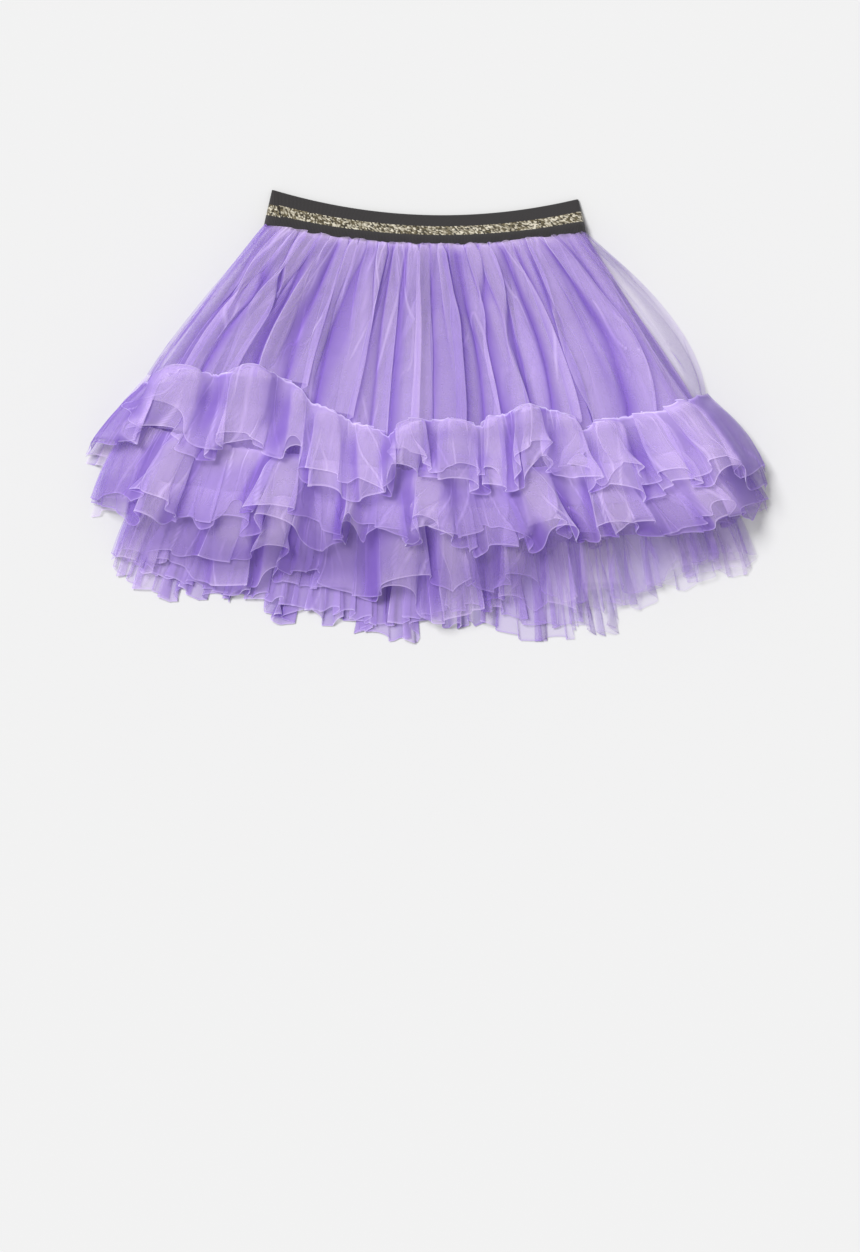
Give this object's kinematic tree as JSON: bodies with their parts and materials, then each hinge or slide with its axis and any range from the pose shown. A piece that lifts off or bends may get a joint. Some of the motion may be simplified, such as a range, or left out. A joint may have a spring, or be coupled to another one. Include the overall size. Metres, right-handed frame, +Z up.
{
  "type": "tulle skirt",
  "caption": "Child's pull-on skirt of gathered tulle with stepped ruffles and a striped elastic waistband, laid flat.",
  "frame": {"origin": "on the surface the skirt lies on, under the middle of its outline", "axes": "+X across the skirt to the viewer's right, +Y from the hems up to the waistband, +Z up from the surface"},
  "size_m": [0.5326, 0.3478, 0.0632],
  "materials": {
    "tulle": "soft sheer nylon net, matt with a faint sheen along its folds",
    "elastic": "ribbed woven elastic with a metallic yarn stripe"
  },
  "bodies": {
    "root": {"waistband": "elastic", "outer_front": "tulle", "outer_back": "tulle", "middle_front": "tulle", "middle_back": "tulle", "inner_front": "tulle", "inner_back": "tulle", "ruffle_upper_front": "tulle", "ruffle_upper_back": "tulle", "ruffle_middle_front": "tulle", "ruffle_middle_back": "tulle", "ruffle_lower_front": "tulle", "ruffle_lower_back": "tulle"}
  },
  "joints": []
}
